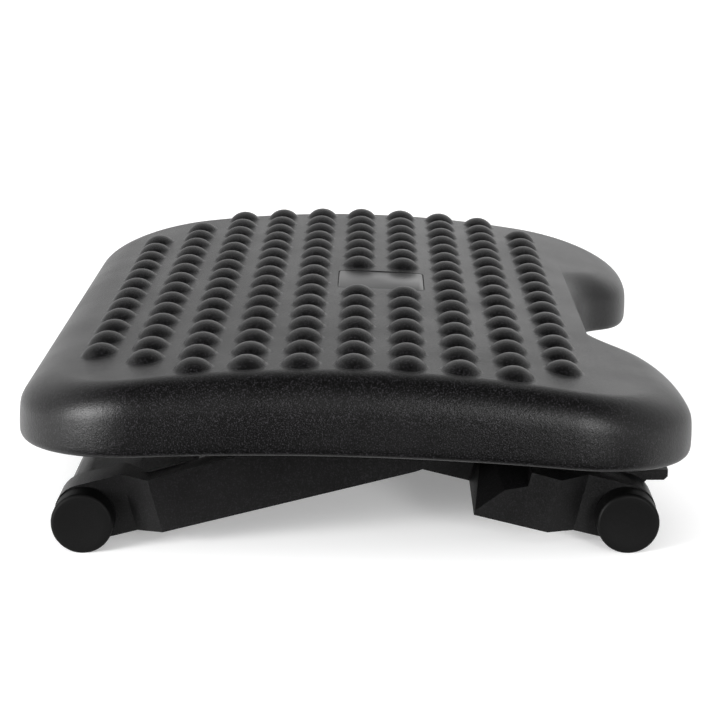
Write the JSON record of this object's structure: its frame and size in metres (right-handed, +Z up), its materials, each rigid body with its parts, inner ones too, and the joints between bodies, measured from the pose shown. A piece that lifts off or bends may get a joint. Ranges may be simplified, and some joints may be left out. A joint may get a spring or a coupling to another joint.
{
  "type": "tilting under desk footrest",
  "caption": "Tilting footrest: a crowned platform with domed bumps and a concave front edge, on crossed folding leg frames with round rubber feet.",
  "frame": {"origin": "on the floor, under the middle of the box round the footrest at its lowest height", "axes": "+X along the platform to the user's right, +Y away from the user towards the straight back edge, +Z up"},
  "size_m": [0.45, 0.3502, 0.1078],
  "materials": {
    "top_plastic": "fine spark-eroded grain",
    "plate_plastic": "smooth satin",
    "bracket_plastic": "satin",
    "leg_plastic": "fine grain",
    "cap_rubber": "smooth matte",
    "axle_steel": "drawn",
    "zinc_steel": "zinc plated",
    "spring_steel": "blued",
    "washer_plastic": "plain acetal"
  },
  "bodies": {
    "axle": {"pivot_axle": "axle_steel", "outer_friction_washer_left": "washer_plastic", "outer_friction_washer_right": "washer_plastic", "inner_friction_washer_left": "washer_plastic", "inner_friction_washer_right": "washer_plastic", "spacer_sleeve_left": "washer_plastic", "spacer_sleeve_right": "washer_plastic", "thrust_washer_left": "washer_plastic", "thrust_washer_right": "washer_plastic", "ratchet_hub_left": "zinc_steel", "ratchet_hub_right": "zinc_steel", "retaining_ring_left": "spring_steel", "retaining_ring_right": "spring_steel"},
    "platform": {"platform_shell": "top_plastic", "name_plate": "plate_plastic", "hinge_bracket_left": "bracket_plastic", "hinge_bracket_right": "bracket_plastic", "bracket_screw_left_1": "zinc_steel", "bracket_screw_left_2": "zinc_steel", "bracket_screw_left_3": "zinc_steel", "bracket_screw_left_4": "zinc_steel", "bracket_screw_right_1": "zinc_steel", "bracket_screw_right_2": "zinc_steel", "bracket_screw_right_3": "zinc_steel", "bracket_screw_right_4": "zinc_steel"},
    "back_leg": {"back_leg_frame": "leg_plastic", "back_foot_cap_left": "cap_rubber", "back_foot_cap_right": "cap_rubber", "pawl_left": "spring_steel", "pawl_screw_left": "zinc_steel"},
    "front_leg": {"front_leg_frame": "leg_plastic", "front_foot_cap_left": "cap_rubber", "front_foot_cap_right": "cap_rubber", "pawl_right": "spring_steel", "pawl_screw_right": "zinc_steel"}
  },
  "joints": [
    {"name": "front_leg_fold", "type": "hinge", "parent": "axle", "child": "front_leg", "pos_m": [0, 0.00029, 0.051], "axis": [1, 0, 0], "range_deg": [0, 17.3], "deforming": ["pawl_right"]},
    {"name": "back_leg_fold", "type": "hinge", "parent": "axle", "child": "back_leg", "pos_m": [0, 0.00029, 0.051], "axis": [1, 0, 0], "range_deg": [-17.3, 0], "deforming": ["pawl_left"]},
    {"name": "platform_tilt", "type": "hinge", "parent": "axle", "child": "platform", "pos_m": [0, 0.00029, 0.051], "axis": [1, 0, 0], "range_deg": [-14, 8]}
  ],
  "couplings": [
    {"joint": "back_leg_fold", "follows": "front_leg_fold", "ratio": -1}
  ]
}
